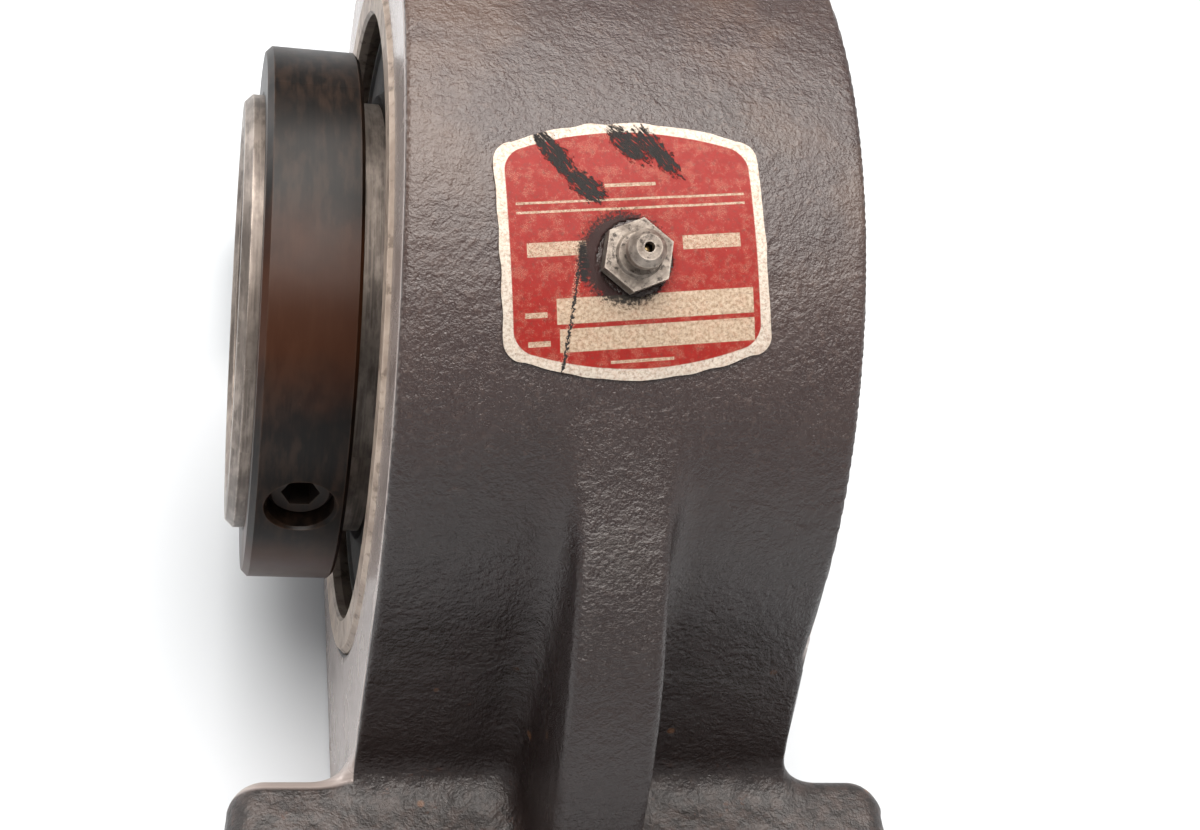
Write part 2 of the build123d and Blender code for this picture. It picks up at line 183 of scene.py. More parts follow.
def housing_field(p):
    x, y, z = np.abs(p[:, 0]), np.abs(p[:, 1]), p[:, 2]
    rad = np.hypot(y, z)
    barrel = rint(rad - BARREL_R, x - BARREL_HALF, 0.9)
    side = -plane2(y, z, PED_FOOT, PED_TOP)
    draft = (p[:, 0] - PED_FAR_X - PED_DRAFT * (PED_DRAFT_FROM - z)) * 0.996
    ends = np.maximum(-p[:, 0] - PED_NEAR_X, draft)
    ped = rint(np.maximum(side, z - PED_TOP_Z), ends, 0.9)
    body = smin(barrel, ped, 0.02 + 0.9 * np.clip((39.0 + p[:, 0]) / 4, 0, 1))
    # ribs
    front = np.hypot(y - RIB_ARC[0], z - RIB_ARC[1]) - RIB_ARC[2]
    thick = x - (RIB_HALF + 0.05 * np.maximum(-front, 0))
    rib = rint(np.maximum(front, RIB_IN_Y - y), thick, 1.7)
    body = smin(body, rib, 7.0)
    # feet
    cy = (FOOT_END_Y + FOOT_IN_Y) / 2
    hy = (FOOT_END_Y - FOOT_IN_Y) / 2
    cr = np.where(y > cy, FOOT_OUT_CORNER, FOOT_IN_CORNER)
    mid_x, half_x = (FOOT_FAR_X - FOOT_NEAR_X) / 2, (FOOT_FAR_X + FOOT_NEAR_X) / 2
    qx = np.abs(p[:, 0] - mid_x) - half_x + cr
    qy = np.abs(y - cy) - hy + cr
    outside = np.hypot(np.maximum(qx, 0), np.maximum(qy, 0))
    plan = np.minimum(np.maximum(qx, qy), 0) + outside - cr
    top = -plane2(y, z, (FOOT_END_Y, FOOT_OUT_Z), (FOOT_IN_Y, FOOT_IN_Z))
    foot = rint(plan, top, 5.5)
    pad = rint(capsule(p, PAD_R), z - PAD_Z, 1.0)
    pad = np.maximum(pad, -60 - z)
    foot = smin(foot, pad, 3.0)
    body = smin(body, foot, 8.0)
    seat = np.maximum(capsule(p, SEAT_R), PAD_Z - z)
    body = np.maximum(body, -seat)
    body = np.maximum(body, -capsule(p, SLOT_R))
    body = np.maximum(body, -H - z)
    relief = np.maximum(np.maximum(x - RELIEF_X, y - RELIEF_Y), z + H - RELIEF_DEPTH)
    body = np.maximum(body, -relief)
    body = np.maximum(body, BORE_R - rad)
    rim = (RIM_CHAMFER - (rad - BORE_R) - (BARREL_HALF - x)) * 0.7071
    body = np.maximum(body, np.where(rad < 78, rim, -9))
    # lubrication hole
    u = np.array([0.0, -math.cos(FIT_ANGLE), math.sin(FIT_ANGLE)])
    q = p - np.array([FIT_X, 0, 0])
    t = q @ u
    rr = np.linalg.norm(q - t[:, None] * u, axis=1)
    body = np.maximum(body, -np.maximum(rr - LUBE_R, LUBE_FROM - t))
    body = np.maximum(body, -np.maximum(rr - THREAD_R, THREAD_FROM - t))
    return body


def cast_mask(p):
    """1 on as-cast skin, 0 on machined faces."""
    x, y, z = np.abs(p[:, 0]), np.abs(p[:, 1]), p[:, 2]
    rad = np.hypot(y, z)
    m = np.clip((rad - 71.0) / 1.5, 0, 1)
    face = (y < 90.0) & (z > -80)
    m = m * np.where(face, np.clip((40.3 - x) / 0.8, 0, 1), 1)
    m = m * np.clip((z + H - 0.4) / 1.5, 0, 1)
    return m * np.clip(capsule(p, SEAT_R + 0.3) / 1.2, 0, 1)


def housing_skin():
    src = nodes["housing"]
    tmp = link("tmp_skin", src.data.copy())
    mod = tmp.modifiers.new("voxel", "REMESH")
    mod.mode = "VOXEL"
    mod.voxel_size = 0.95 * MM
    mod.use_smooth_shade = True
    dg = bpy.context.evaluated_depsgraph_get()
    me = bpy.data.meshes.new_from_object(tmp.evaluated_get(dg))
    bpy.data.objects.remove(tmp)
    n = len(me.vertices)
    co = np.zeros(n * 3)
    me.vertices.foreach_get("co", co)
    p = co.reshape(-1, 3) * 1000.0
    e = np.zeros(len(me.edges) * 2, np.int64)
    me.edges.foreach_get("vertices", e)
    ei, ej = e.reshape(-1, 2).T
    deg = (np.bincount(ei, minlength=n) + np.bincount(ej, minlength=n)).astype(float)

    def gradient(q):
        h = 0.02
        g = np.zeros_like(q)
        for k in range(3):
            d = np.zeros(3)
            d[k] = h
            g[:, k] = (housing_field(q + d) - housing_field(q - d)) / (2 * h)
        return g

    for step in range(5):
        if step < 3:
            mean = np.zeros_like(p)
            for k in range(3):
                mean[:, k] = (np.bincount(ei, p[ej, k], n) + np.bincount(ej, p[ei, k], n)) / deg
            p = p + 0.5 * (mean - p)
        g = gradient(p)
        s = housing_field(p)
        g2 = np.maximum((g * g).sum(1), 0.3)
        move = -(s / g2)[:, None] * g
        p = p + np.clip(move, -2.5, 2.5)
    # rough casting: broad lumps, grain and a few sunken spots
    g = gradient(p)
    g /= np.maximum(np.linalg.norm(g, axis=1), 0.2)[:, None]
    m = cast_mask(p)
    lumps = 0.12 * noise3(p, 9.0, 1) + 0.13 * noise3(p, 4.0, 2) + 0.10 * noise3(p, 2.1, 3)
    pit = np.maximum(noise3(p, 5.5, 4) - 0.62, 0) * 0.9
    foot = np.clip((-38 - p[:, 2]) / 6, 0, 1)
    p = p + g * (m * (lumps * (0.55 + 0.9 * foot) - pit * (0.3 + foot)))[:, None]
    me.vertices.foreach_set("co", (p / 1000.0).ravel())
    me.polygons.foreach_set("use_smooth", [True] * len(me.polygons))
    me.update()
    return me


skin = link("housing_casting", housing_skin())
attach(skin, "housing_body")
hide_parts("housing")


# ------------------------------------------------------------------ node material tools
class Nodes:
    """Small wrapper that makes node graphs short to write."""

    def __init__(self, name):
        self.mat = bpy.data.materials.new(name)
        self.mat.use_nodes = True
        self.t = self.mat.node_tree
        self.t.nodes.clear()
        self.out = self.t.nodes.new("ShaderNodeOutputMaterial")
        self.bsdf = self.t.nodes.new("ShaderNodeBsdfPrincipled")
        self.t.links.new(self.bsdf.outputs[0], self.out.inputs[0])
        self.coord = self.t.nodes.new("ShaderNodeTexCoord")

    def put(self, sock, value):
        if isinstance(value, bpy.types.NodeSocket):
            self.t.links.new(value, sock)
        elif isinstance(value, (tuple, list)) and len(value) == 3 and sock.type == "RGBA":
            sock.default_value = (*value, 1)
        else:
            sock.default_value = value

    def math(self, op, a, b=0.0):
        n = self.t.nodes.new("ShaderNodeMath")
        n.operation = op
        for s, v in zip(n.inputs, (a, b)):
            self.put(s, v)
        return n.outputs[0]

    def split(self, vec):
        n = self.t.nodes.new("ShaderNodeSeparateXYZ")
        self.put(n.inputs[0], vec)
        return n.outputs

    def join(self, x, y, z):
        n = self.t.nodes.new("ShaderNodeCombineXYZ")
        for s, v in zip(n.inputs, (x, y, z)):
            self.put(s, v)
        return n.outputs[0]

    def noise(self, scale, detail=4.0, rough=0.55, vec=None):
        n = self.t.nodes.new("ShaderNodeTexNoise")
        self.put(n.inputs["Vector"], vec if vec is not None else self.coord.outputs["Object"])
        n.inputs["Scale"].default_value = scale
        n.inputs["Detail"].default_value = detail
        n.inputs["Roughness"].default_value = rough
        return n.outputs["Fac"]

    def voronoi(self, scale):
        n = self.t.nodes.new("ShaderNodeTexVoronoi")
        self.put(n.inputs["Vector"], self.coord.outputs["Object"])
        n.inputs["Scale"].default_value = scale
        return n.outputs["Distance"]

    def ramp(self, fac, stops):
        n = self.t.nodes.new("ShaderNodeValToRGB")
        n.color_ramp.interpolation = "EASE"
        el = n.color_ramp.elements
        while len(el) < len(stops):
            el.new(0.5)
        for e, (pos, val) in zip(el, stops):
            e.position = pos
            e.color = (*val, 1)
        self.put(n.inputs[0], fac)
        return n.outputs[0]

    def step(self, value, lo, hi):
        """0 below lo, 1 above hi, smooth between."""
        n = self.t.nodes.new("ShaderNodeMapRange")
        n.interpolation_type = "SMOOTHSTEP"
        self.put(n.inputs[0], value)
        a, b = (0.0, 1.0) if lo < hi else (1.0, 0.0)
        n.inputs[1].default_value = min(lo, hi)
        n.inputs[2].default_value = max(lo, hi)
        n.inputs[3].default_value = a
        n.inputs[4].default_value = b
        return n.outputs[0]

    def mix(self, fac, a, b):
        n = self.t.nodes.new("ShaderNodeMix")
        n.data_type = "RGBA"
        self.put(n.inputs[0], fac)
        self.put(n.inputs[6], a)
        self.put(n.inputs[7], b)
        return n.outputs[2]

    def bump(self, height, strength, distance):
        n = self.t.nodes.new("ShaderNodeBump")
        n.inputs["Strength"].default_value = strength
        n.inputs["Distance"].default_value = distance
        self.put(n.inputs["Height"], height)
        return n.outputs[0]

    def set(self, **kw):
        for k, v in kw.items():
            self.put(self.bsdf.inputs[k.replace("_", " ")], v)
        return self.mat


def srgb(r, g, b):
    f = lambda c: c / 12.92 if c <= 0.04045 else ((c + 0.055) / 1.055) ** 2.4
    return tuple(f(c / 255.0) for c in (r, g, b))


# ------------------------------------------------------------------ materials
def shaft_coords(m):
    """x, distance from the shaft axis and angle round it."""
    x, y, z = m.split(m.coord.outputs["Object"])
    rad = m.math("SQRT", m.math("ADD", m.math("MULTIPLY", y, y), m.math("MULTIPLY", z, z)))
    return x, y, z, rad, m.math("ARCTAN2", z, y)


def worn_edges(m):
    """Sharp edges found by a bevelled normal, broken up by a noise."""
    geo = m.t.nodes.new("ShaderNodeNewGeometry")
    bev = m.t.nodes.new("ShaderNodeBevel")
    bev.samples = 4
    bev.inputs["Radius"].default_value = 0.6 * MM
    dot = m.t.nodes.new("ShaderNodeVectorMath")
    dot.operation = "DOT_PRODUCT"
    m.t.links.new(bev.outputs[0], dot.inputs[0])
    m.t.links.new(geo.outputs["Normal"], dot.inputs[1])
    sharp = m.step(dot.outputs["Value"], 0.985, 0.93)
    return m.math("MULTIPLY", sharp, m.step(m.noise(220.0, 4), 0.32, 0.55))


def cast_paint():
    m = Nodes("cast_paint")
    x, y, z, rad, ang = shaft_coords(m)
    coarse = m.noise(260, 4, 0.6)
    fine = m.noise(820, 4, 0.65)
    grain = m.noise(2100, 3, 0.6)
    pimple = m.step(m.voronoi(520), 0.40, 0.10)
    paint = [(0.3, srgb(40, 28, 26)), (0.5, srgb(50, 36, 34)), (0.7, srgb(60, 45, 41))]
    base = m.ramp(m.noise(22, 4), paint)
    base = m.mix(m.math("MULTIPLY", m.step(fine, 0.5, 0.75), 0.5), base, srgb(84, 68, 62))
    # faint brown stains over the crown, and painted shade darkening the lower part of the casting
    crown = m.math("MULTIPLY", m.step(z, 0.05, 0.078), m.step(m.noise(34, 4), 0.45, 0.6))
    base = m.mix(m.math("MULTIPLY", crown, 0.5), base, srgb(84, 64, 52))
    lower_painted_shade = m.step(z, 0.062, 0.012)
    base = m.mix(m.math("MULTIPLY", lower_painted_shade, 0.75), base, srgb(22, 15, 14))
    foot = m.math("MULTIPLY", m.step(z, -0.039, -0.045), m.step(rad, 0.093, 0.098))
    sandy = m.mix(m.step(m.noise(420, 5, 0.65), 0.42, 0.62), srgb(24, 18, 16), srgb(58, 47, 43))
    base = m.mix(m.math("MULTIPLY", foot, 0.8), base, sandy)
    rust = m.math("MULTIPLY", m.step(m.noise(260, 6, 0.7), 0.60, 0.66), m.step(z, -0.034, -0.042))
    rust = m.math("MULTIPLY", rust, m.step(m.noise(38, 3), 0.45, 0.58))
    base = m.mix(m.math("MULTIPLY", rust, 0.6), base, srgb(96, 56, 34))
    dot = m.math("MULTIPLY", m.step(m.voronoi(120), 0.12, 0.06), m.step(z, 0.0, -0.04))
    base = m.mix(m.math("MULTIPLY", dot, 0.5), base, srgb(124, 84, 54))
    # cut metal on the machined end faces; its pale colour is partly a painted reflection of the pale backdrop
    ax = m.math("ABSOLUTE", x)
    near = m.math("MULTIPLY", m.step(x, -0.04025, -0.04042), m.step(m.math("ABSOLUTE", y), 0.0895, 0.0885))
    far = m.math("MULTIPLY", m.step(ax, 0.04025, 0.04042), m.step(rad, 0.0868, 0.0862))
    face = m.math("MAXIMUM", near, far)
    round_axis = m.join(m.math("MULTIPLY", rad, 2200.0), m.math("MULTIPLY", ang, 2.0), 0.0)
    lines = m.noise(1.0, 3, 0.6, round_axis)
    bare_metal_and_reflection = m.mix(lines, srgb(146, 134, 129), srgb(178, 166, 161))
    bare_metal_and_reflection = m.mix(m.math("MULTIPLY", m.step(m.noise(60, 5), 0.5, 0.68), 0.5), bare_metal_and_reflection, srgb(92, 78, 70))
    base = m.mix(face, base, bare_metal_and_reflection)
    geo = m.t.nodes.new("ShaderNodeNewGeometry")
    convex = m.step(geo.outputs["Pointiness"], 0.54, 0.60)
    edge = m.math("MULTIPLY", convex, m.step(m.noise(160, 4), 0.35, 0.55))
    rim = m.math("MULTIPLY", m.step(ax, 0.0388, 0.0396), m.step(fine, 0.3, 0.5))
    edge = m.math("MULTIPLY", edge, m.math("ADD", 0.25, m.math("MULTIPLY", rim, 0.75)))
    base = m.mix(m.math("MULTIPLY", edge, 0.85), base, srgb(188, 180, 174))
    rough = m.math("ADD", 0.17, m.math("MULTIPLY", m.noise(90, 3), 0.18))
    rough = m.math("ADD", rough, m.math("MULTIPLY", foot, 0.15))
    h = m.math("ADD", m.math("MULTIPLY", fine, 0.7), m.math("MULTIPLY", grain, 0.3))
    h = m.math("ADD", h, m.math("MULTIPLY", pimple, 0.07))
    h = m.math("ADD", h, m.math("MULTIPLY", coarse, 0.6))
    h = m.math("MULTIPLY", h, m.math("SUBTRACT", 1.0, m.math("MULTIPLY", face, 0.95)))
    n = m.bump(h, 1.0, 0.00048)
    m.bsdf.inputs["Specular IOR Level"].default_value = 0.62
    return m.set(Base_Color=base, Roughness=rough, Normal=n, Metallic=m.math("MULTIPLY", face, 0.35))


STREAK = 2400.0              # turning marks per metre, as noise scale


def turned_steel(name, dark, light, edge, metallic, rough, patch=None, specular=0.5):
    """Turned surface: fine rings along the shaft axis, with stains."""
    m = Nodes(name)
    x, y, z, rad, ang = shaft_coords(m)
    across = m.join(
        m.math("MULTIPLY", x, STREAK), m.math("MULTIPLY", rad, STREAK), m.math("MULTIPLY", ang, 1.4)
    )
    lines = m.noise(1.0, 3, 0.6, across)
    smudge = m.join(
        m.math("MULTIPLY", x, 500.0), m.math("MULTIPLY", rad, 300.0), m.math("MULTIPLY", ang, 7.0)
    )
    wipe = m.noise(1.0, 4, 0.6, smudge)
    cloud = m.noise(70, 5, 0.6)
    base = m.mix(m.step(lines, 0.3, 0.7), dark, light)
    base = m.mix(m.math("MULTIPLY", m.step(wipe, 0.40, 0.66), 0.7), base, m.mix(0.5, light, edge))
    base = m.mix(m.math("MULTIPLY", m.step(cloud, 0.45, 0.65), 0.6), base, dark)
    if patch:
        at, width, colour, amount = patch
        near = m.math("ABSOLUTE", m.math("SUBTRACT", m.math("ABSOLUTE", ang), at))
        wob = m.math("MULTIPLY", m.math("SUBTRACT", m.noise(60, 4), 0.5), 0.5)
        zone = m.step(m.math("ADD", near, wob), width, width * 0.3)
        base = m.mix(m.math("MULTIPLY", zone, amount), base, colour)
    base = m.mix(m.math("MULTIPLY", worn_edges(m), 0.7), base, edge)
    nick = m.step(m.noise(300, 5, 0.7), 0.68, 0.72)
    base = m.mix(m.math("MULTIPLY", nick, 0.35), base, edge)
    r = m.math("ADD", rough, m.math("MULTIPLY", cloud, 0.22))
    m.bsdf.inputs["Specular IOR Level"].default_value = specular
    h = m.math("ADD", m.math("MULTIPLY", lines, 0.6), m.math("MULTIPLY", m.noise(900, 2), 0.3))
    return m.set(Base_Color=base, Roughness=r, Metallic=metallic, Normal=m.bump(h, 0.35, 0.00006))


def worn_finish(name, dark, light, rough, metallic, scale, bump, spot=None, amount=0.7, specular=0.5):
    """Mottled finish with optional spots of a second colour."""
    m = Nodes(name)
    a = m.noise(scale, 5, 0.6)
    b = m.noise(scale * 6, 3, 0.6)
    base = m.ramp(a, [(0.3, dark), (0.7, light)])
    if spot:
        base = m.mix(m.math("MULTIPLY", m.step(m.noise(scale * 2.2, 5, 0.7), 0.52, 0.64), amount), base, spot)
    edge = m.math("MULTIPLY", worn_edges(m), 0.5)
    base = m.mix(edge, base, tuple(min(1.0, c * 1.4 + 0.04) for c in light))
    r = m.math("ADD", rough, m.math("MULTIPLY", b, 0.18))
    m.bsdf.inputs["Specular IOR Level"].default_value = specular
    return m.set(Base_Color=base, Roughness=r, Metallic=metallic, Normal=m.bump(b, bump, 0.0001))


mat_cast = cast_paint()
# brown band across the collar, about 0.40 rad wide and centred 144 degrees round the shaft axis
collar_brown_band = (math.radians(144), 0.40, srgb(62, 33, 17), 0.7)
mat_collar = turned_steel(
    "collar_oxide", srgb(6, 4, 3), srgb(17, 11, 8), srgb(60, 44, 34), 0.0, 0.27, collar_brown_band, 0.2
)
mat_inner = turned_steel(
    "inner_ring_steel", srgb(84, 76, 71), srgb(128, 118, 110), srgb(188, 176, 166), 0.6, 0.3
)
mat_bearing = turned_steel(
    "bearing_steel", srgb(150, 150, 150), srgb(200, 199, 197), srgb(220, 220, 218), 1.0, 0.16
)
mat_brass = turned_steel(
    "cage_brass", srgb(150, 112, 52), srgb(196, 156, 82), srgb(220, 190, 120), 1.0, 0.28
)
mat_screw = turned_steel(
    "screw_oxide", srgb(14, 10, 8), srgb(34, 24, 19), srgb(60, 44, 34), 0.0, 0.5
)
mat_closure = worn_finish(
    "closure_paint", srgb(136, 120, 108), srgb(172, 156, 142), 0.4, 0.15, 160, 0.25, srgb(84, 68, 56)
)
# dark pressed steel made darker still, to near black, as painted shade of the gap between collar and housing
mat_pressed_shade = worn_finish(
    "pressed_steel", srgb(12, 9, 8), srgb(28, 22, 19), 0.55, 0.0, 140, 0.3, srgb(44, 30, 20), 0.7, 0.2
)
mat_rubber = worn_finish(
    "seal_rubber", srgb(20, 20, 20), srgb(34, 33, 32), 0.6, 0.0, 90, 0.3, srgb(60, 50, 42), 0.3
)
mat_fitting = worn_finish(
    "fitting_zinc", srgb(92, 82, 74), srgb(150, 140, 130), 0.3, 0.45, 420, 0.8, srgb(30, 21, 16), 0.85
)
mat_ball = worn_finish("fitting_ball", srgb(120, 96, 60), srgb(170, 150, 110), 0.2, 1.0, 500, 0.2)
mat_spring = worn_finish(
    "spring_steel", srgb(110, 110, 112), srgb(150, 150, 150), 0.28, 1.0, 400, 0.3, srgb(70, 62, 54)
)

set_material(skin, mat_cast)
for name in ("front_closure_ring", "rear_closure_ring"):
    set_material(nodes[name], mat_closure)
for name in ("front_flinger", "rear_flinger", "front_seal_carrier", "rear_seal_carrier"):
    set_material(nodes[name], mat_pressed_shade)
for name in ("front_seal", "rear_seal"):
    set_material(nodes[name], mat_rubber)
set_material(nodes["locking_collar"], mat_collar)
set_material(nodes["inner_ring"], mat_inner)
set_material(nodes["cage"], mat_brass)
for name in ("outer_ring", "guide_ring"):
    set_material(nodes[name], mat_bearing)
set_material(nodes["fitting_ball"], mat_ball)
spring = link("valve_spring", nodes["fitting_spring"].data.copy())
set_material(spring, mat_spring)
set_material(nodes["fitting_spring"], mat_spring)
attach(spring, "housing_body")
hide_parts("fitting_spring")
for name in nodes:
    if name.startswith("roller_"):
        set_material(nodes[name], mat_bearing)
    if name.startswith("set_screw"):
        set_material(nodes[name], mat_screw)
set_material(nodes["grease_fitting"], mat_fitting)
for name, ob in nodes.items():
    if name != "housing":
        smooth_by_angle(ob)
smooth_by_angle(spring)
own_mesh(spring)

# ------------------------------------------------------------------ nameplate foil
PLATE_TURN = math.radians(4.9)
PLATE_X = -1.2
PLATE_UP = 1.8
PLATE_HALF = 23.2
PLATE_CORNER = 3.4


def plate_point(s, t, lift):
    """Point of the curved plate from its own flat coordinates, mm."""
    t = t + PLATE_UP
    x = PLATE_X + s * math.cos(PLATE_TURN) - t * math.sin(PLATE_TURN)
    arc = s * math.sin(PLATE_TURN) + t * math.cos(PLATE_TURN)
    a = FIT_ANGLE + arc / BARREL_R
    r = BARREL_R + lift
    return (x * MM, -r * math.cos(a) * MM, r * math.sin(a) * MM)


def plate_edge(s):
    """Half height of the plate at a place along its width: the long edges are arched."""
    inner = PLATE_HALF - PLATE_CORNER
    t = 17.6 + 4.6 * (1 - (min(abs(s), inner) / PLATE_HALF) ** 2)
    over = max(abs(s) - inner, 0.0)
    return t - PLATE_CORNER + math.sqrt(max(PLATE_CORNER**2 - over**2, 0.0))


def make_plate():
    nu, nv = ((190, 170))
    flat = []
    for j in range(nv + 1):
        for i in range(nu + 1):
            s = PLATE_HALF * math.sin((2 * i / nu - 1) * math.pi / 2)
            t = plate_edge(s) * math.sin((2 * j / nv - 1) * math.pi / 2)
            flat.append((s, t))
    q = np.array([(s, t, 0.0) for s, t in flat])
    rimward = np.clip(np.maximum(np.abs(q[:, 0]) / PLATE_HALF, np.abs(q[:, 1]) / 20.0) - 0.7, 0, 1) / 0.3
    q[:, 0] += 0.22 * rimward * noise3(q, 3.5, 21)
    q[:, 1] += 0.22 * rimward * noise3(q, 3.1, 22)
    hub = np.hypot(q[:, 0] + 0.1, q[:, 1] + PLATE_UP)
    crease = np.abs(q[:, 0] + 9.3 - 0.195 * q[:, 1] + 0.5 * noise3(q, 2.2, 23))
    crease = np.exp(-((crease / 0.45) ** 2)) * np.clip((2 - q[:, 1]) / 3, 0, 1)
    lift = 0.42 + 0.07 * noise3(q, 6.0, 7) + 0.04 * noise3(q, 2.2, 8) + 0.22 * crease
    lift += 0.12 * np.clip(rimward - 0.7, 0, 1) * (1 + noise3(q, 5.0, 9))
    # puckers where the foil was dragged at the top edge
    drag = np.exp(-(((q[:, 0] + 13) / 3.2) ** 2)) + np.exp(-(((q[:, 0] - 2.5) / 4.5) ** 2))
    drag = drag * np.clip((q[:, 1] - 9) / 8, 0, 1)
    lift += 0.28 * drag * np.abs(noise3(q * np.array([1.0, 0.35, 1.0]), 1.5, 24))
    lift -= 0.15 * np.exp(-((hub - 7.6) / 1.6) ** 2)
    verts = [plate_point(s, t, l) for (s, t, _), l in zip(q, lift)]
    lower = [plate_point(s, t, 0.10) for s, t, _ in q]
    n, w = len(verts), nu + 1
    faces = []
    for j in range(nv):
        for i in range(nu):
            quad = [j * w + i, j * w + i + 1, (j + 1) * w + i + 1, (j + 1) * w + i]
            if not all(hub[k] < 6.8 for k in quad):
                faces.append(quad)
    edges = {(a, b) for f in faces for a, b in zip(f, f[1:] + f[:1])}
    rim = [[b, a, a + n, b + n] for a, b in edges if (b, a) not in edges]
    under = [[k + n for k in reversed(f)] for f in faces]
    uv = [(s, t) for s, t, _ in q]
    return mesh_from("nameplate_foil", verts + lower, faces + under + sorted(rim), uv + uv)


def plate_material():
    m = Nodes("nameplate_print")
    s, t, _ = m.split(m.coord.outputs["UV"])

    def flat_noise(ks, kt, seed, detail=5.0, rough=0.65, turn=0.0):
        c, d = math.cos(turn), math.sin(turn)
        u = m.math("ADD", m.math("MULTIPLY", s, c * ks), m.math("MULTIPLY", t, d * ks))
        v = m.math("SUBTRACT", m.math("MULTIPLY", t, c * kt), m.math("MULTIPLY", s, d * kt))
        return m.noise(1.0, detail, rough, m.join(u, v, seed))

    def box(s0, s1, t0, t1, slope=0.0, soft=0.07):
        v = m.math("SUBTRACT", t, m.math("MULTIPLY", s, slope))
        a = m.math("MULTIPLY", m.step(s, s0 - soft, s0 + soft), m.step(s, s1 + soft, s1 - soft))
        b = m.math("MULTIPLY", m.step(v, t0 - soft, t0 + soft), m.step(v, t1 + soft, t1 - soft))
        return m.math("MULTIPLY", a, b)

    wob = flat_noise(0.7, 0.7, 3.0, 4.0)
    mid = flat_noise(1.7, 1.7, 9.0)
    fine = flat_noise(5.0, 5.0, 1.0)
    speck = flat_noise(9.0, 9.0, 12.0, 3.0, 0.6)
    # silver border with rounded inner corners
    edge_t = m.math("ADD", 22.2, m.math("MULTIPLY", m.math("MULTIPLY", s, s), -4.6 / PLATE_HALF**2))
    r, inset = 3.0, 1.75     # inner corner radius and border width
    cu = m.math("MAXIMUM", m.math("SUBTRACT", m.math("ABSOLUTE", s), PLATE_HALF - inset - r), 0.0)
    cv = m.math("SUBTRACT", m.math("ABSOLUTE", t), m.math("SUBTRACT", edge_t, inset + r))
    cv = m.math("MAXIMUM", cv, 0.0)
    corner = m.math("SQRT", m.math("ADD", m.math("MULTIPLY", cu, cu), m.math("MULTIPLY", cv, cv)))
    corner = m.math("ADD", corner, m.math("MULTIPLY", m.math("SUBTRACT", fine, 0.5), 0.25))
    field = m.step(corner, r + 0.1, r - 0.1)
    red = m.mix(wob, srgb(112, 8, 2), srgb(142, 20, 6))
    silver = m.mix(m.step(mid, 0.3, 0.6), srgb(154, 138, 124), srgb(192, 182, 170))
    colour = m.mix(field, silver, red)
    # plain panels and rules in place of the printed words
    slope = math.tan(math.radians(1.9))
    cream = m.mix(m.step(mid, 0.35, 0.65), srgb(140, 118, 96), srgb(178, 160, 140))
    panels = m.math("MAXIMUM", box(-14.0, 20.3, -12.2, -7.9, slope), box(-13.6, 20.3, -16.9, -13.0, slope))
    colour = m.mix(panels, colour, cream)
    rules = m.math("MAXIMUM", box(-20.0, 20.0, 8.2, 8.6, slope), box(-20.0, 20.0, 6.6, 7.0, slope))
    bars = [(-18.6, -8.4, -0.8, 1.6), (8.4, 18.6, -0.8, 1.6), (-4.5, 4.5, 10.6, 11.2),
            (-19.4, -15.6, -10.9, -10.0), (-19.0, -15.2, -15.7, -14.8), (-5.0, 6.0, -19.3, -18.8)]
    for b in bars:
        rules = m.math("MAXIMUM", rules, box(*b, slope))
    worn = m.step(fine, 0.38, 0.46)
    colour = m.mix(m.math("MULTIPLY", rules, worn), colour, cream)
    # print rubbed through in patches, scratches and dirt
    patch = m.step(flat_noise(0.42, 0.42, 77.0, 4.0, 0.7), 0.47, 0.6)
    rub = m.math("MULTIPLY", m.step(speck, 0.50, 0.60), patch)
    colour = m.mix(m.math("MULTIPLY", rub, 0.65), colour, srgb(168, 126, 104))
    scratch = m.step(flat_noise(9.0, 0.7, 5.0, 4.0, 0.65, 0.45), 0.66, 0.69)
    colour = m.mix(m.math("MULTIPLY", scratch, 0.5), colour, srgb(190, 160, 144))
    dirt = m.step(flat_noise(1.4, 1.4, 31.0, 6.0, 0.7), 0.52, 0.66)
    colour = m.mix(m.math("MULTIPLY", dirt, 0.45), colour, srgb(74, 46, 34))
    pepper = m.math("MULTIPLY", m.step(flat_noise(7.0, 7.0, 41.0, 3.0, 0.6), 0.62, 0.66), 0.7)
    colour = m.mix(pepper, colour, srgb(44, 30, 24))

    def smear(cs, ct, length, width, turn, seed):
        """Black grease dragged in strands along a direction."""
        c, d = math.cos(turn), math.sin(turn)
        u = m.math("SUBTRACT", s, cs)
        v = m.math("SUBTRACT", t, ct)
        uu = m.math("ADD", m.math("MULTIPLY", u, c), m.math("MULTIPLY", v, d))
        vv = m.math("SUBTRACT", m.math("MULTIPLY", v, c), m.math("MULTIPLY", u, d))
        w = m.noise(1.0, 4, 0.6, m.join(m.math("MULTIPLY", uu, 0.35), m.math("MULTIPLY", vv, 2.4), seed))
        e = m.noise(1.0, 5, 0.7, m.join(m.math("MULTIPLY", uu, 0.8), m.math("MULTIPLY", vv, 1.5), seed + 5))
        uu = m.math("DIVIDE", uu, length)
        vv = m.math("DIVIDE", vv, width)
        rr = m.math("SQRT", m.math("ADD", m.math("MULTIPLY", uu, uu), m.math("MULTIPLY", vv, vv)))
        rr = m.math("ADD", rr, m.math("MULTIPLY", m.math("SUBTRACT", e, 0.5), 2.4))
        return m.math("MULTIPLY", m.step(rr, 1.0, 0.8), m.step(w, 0.36, 0.44))

